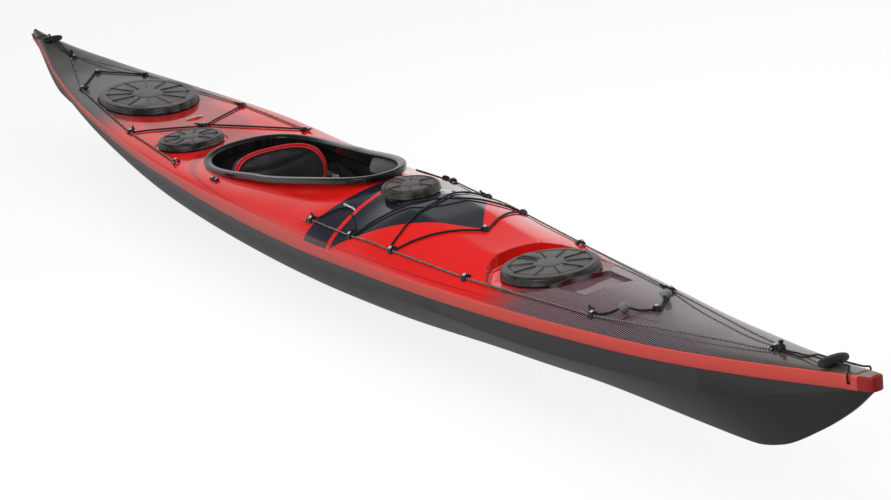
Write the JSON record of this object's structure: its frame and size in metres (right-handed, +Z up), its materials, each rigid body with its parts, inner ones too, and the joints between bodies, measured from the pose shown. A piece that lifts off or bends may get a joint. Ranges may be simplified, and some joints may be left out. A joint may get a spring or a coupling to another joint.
{
  "type": "sea kayak",
  "caption": "Touring sea kayak with raked ends, round and oval rubber hatches, a keyhole cockpit with seat and backrest, a drop skeg, footrests, deck lines, bungees and carrying toggles.",
  "frame": {"origin": "under midship, where the keel rests on the ground", "axes": "+X to the bow, +Y to port, +Z up"},
  "size_m": [5.1363, 0.5746, 0.3849],
  "materials": {
    "hull_laminate": "satin dark grey gelcoat",
    "deck_gelcoat": "gloss red fading to woven dark laminate at the bow and dark grey at the stern",
    "seam_tape": "satin red",
    "coaming_gloss": "gloss black",
    "moulded_black": "satin moulded black",
    "hatch_rubber": "matt dark grey",
    "laminate": "matt dark laminate",
    "gloss_black": "gloss black",
    "stainless": "polished",
    "anodised": "satin",
    "padding": "black woven fabric",
    "webbing": "black webbing",
    "deck_cord": "black braid with pale flecks",
    "float_grey": "satin grey"
  },
  "bodies": {
    "kayak": {"aft_bungee_long": "deck_cord", "aft_bungee_short": "deck_cord", "aft_deck_line": "deck_cord", "bow_bungee": "deck_cord", "bow_cord_lock": "moulded_black", "bow_handle_cord": "deck_cord", "bow_hatch_rim": "moulded_black", "coaming": "coaming_gloss", "coaming_cleat": "moulded_black", "cockpit_bulkhead": "laminate", "day_hatch_rim": "moulded_black", "deck": "deck_gelcoat", "foredeck_bungee": "deck_cord", "foredeck_line": "deck_cord", "front_bulkhead": "laminate", "hull": "hull_laminate", "paddle_cord": "deck_cord", "paddle_park": "stainless", "pod_hatch_rim": "moulded_black", "pod_tub": "laminate", "port_backrest_strap": "webbing", "port_deck_float": "float_grey", "port_footrest_rail": "anodised", "port_hip_pad": "padding", "port_ratchet_base": "moulded_black", "port_thigh_brace": "gloss_black", "rear_bulkhead": "laminate", "rear_hatch_rim": "moulded_black", "seam_band": "seam_tape", "seat_pan": "moulded_black", "security_bar": "stainless", "skeg_box": "laminate", "skeg_cable_sleeve": "moulded_black", "skeg_pin": "stainless", "skeg_slider_track": "moulded_black", "starboard_backrest_strap": "webbing", "starboard_deck_float": "float_grey", "starboard_footrest_rail": "anodised", "starboard_hip_pad": "padding", "starboard_ratchet_base": "moulded_black", "starboard_thigh_brace": "gloss_black", "stern_bungee": "deck_cord", "stern_cord_lock": "moulded_black", "stern_handle_cord": "deck_cord"},
    "bow_hatch_cover": {"bow_hatch_cover": "hatch_rubber"},
    "rear_hatch_cover": {"rear_hatch_cover": "hatch_rubber"},
    "day_hatch_cover": {"day_hatch_cover": "hatch_rubber"},
    "pod_hatch_cover": {"pod_hatch_cover": "hatch_rubber"},
    "skeg_blade": {"skeg_blade": "gloss_black"},
    "skeg_slider": {"skeg_slider": "moulded_black"},
    "port_foot_pedal": {"port_foot_pedal": "moulded_black"},
    "starboard_foot_pedal": {"starboard_foot_pedal": "moulded_black"},
    "bow_toggle": {"bow_toggle": "moulded_black"},
    "stern_toggle": {"stern_toggle": "moulded_black"},
    "backrest": {"backrest": "padding"},
    "port_ratchet_lever": {"port_ratchet_lever": "stainless"},
    "starboard_ratchet_lever": {"starboard_ratchet_lever": "stainless"}
  },
  "joints": [
    {"name": "bow_hatch_lift", "type": "slide", "parent": "kayak", "child": "bow_hatch_cover", "axis": [-0.043, 0, 0.9991], "range_m": [0, 0.15]},
    {"name": "rear_hatch_lift", "type": "slide", "parent": "kayak", "child": "rear_hatch_cover", "axis": [0, 0, 1], "range_m": [0, 0.15]},
    {"name": "day_hatch_lift", "type": "slide", "parent": "kayak", "child": "day_hatch_cover", "axis": [-0.012, 0, 0.9999], "range_m": [0, 0.15]},
    {"name": "pod_hatch_lift", "type": "slide", "parent": "kayak", "child": "pod_hatch_cover", "axis": [0.03, 0, 0.9996], "range_m": [0, 0.15]},
    {"name": "skeg_swing", "type": "hinge", "parent": "kayak", "child": "skeg_blade", "pos_m": [-1.39629, 0, 0.07159], "axis": [0, -1, 0], "range_deg": [0, 55]},
    {"name": "skeg_slide", "type": "slide", "parent": "kayak", "child": "skeg_slider", "axis": [-0.9995, -0.0068, -0.0322], "range_m": [0, 0.11]},
    {"name": "port_footrest_slide", "type": "slide", "parent": "kayak", "child": "port_foot_pedal", "axis": [0.9973, -0.0696, 0.0237], "range_m": [-0.17, 0.17]},
    {"name": "starboard_footrest_slide", "type": "slide", "parent": "kayak", "child": "starboard_foot_pedal", "axis": [0.9973, 0.0696, 0.0237], "range_m": [-0.17, 0.17]},
    {"name": "bow_toggle_slide", "type": "slide", "parent": "kayak", "child": "bow_toggle", "axis": [0.9942, 0, 0.1078], "range_m": [-0.035, 0.035]},
    {"name": "stern_toggle_slide", "type": "slide", "parent": "kayak", "child": "stern_toggle", "axis": [-0.9914, 0, 0.1311], "range_m": [-0.035, 0.035]},
    {"name": "backrest_tilt", "type": "hinge", "parent": "kayak", "child": "backrest", "pos_m": [-0.4275, 0, 0.1103], "axis": [0, 1, 0], "range_deg": [-8, 8]},
    {"name": "port_ratchet_lift", "type": "hinge", "parent": "kayak", "child": "port_ratchet_lever", "pos_m": [-0.302, 0.16249, 0.188], "axis": [0, 0, -1], "range_deg": [0, 100]},
    {"name": "starboard_ratchet_lift", "type": "hinge", "parent": "kayak", "child": "starboard_ratchet_lever", "pos_m": [-0.302, -0.16249, 0.188], "axis": [0, 0, 1], "range_deg": [0, 100]}
  ],
  "couplings": [
    {"joint": "skeg_slide", "follows": "skeg_swing", "m_per_rad": 0.1146}
  ]
}
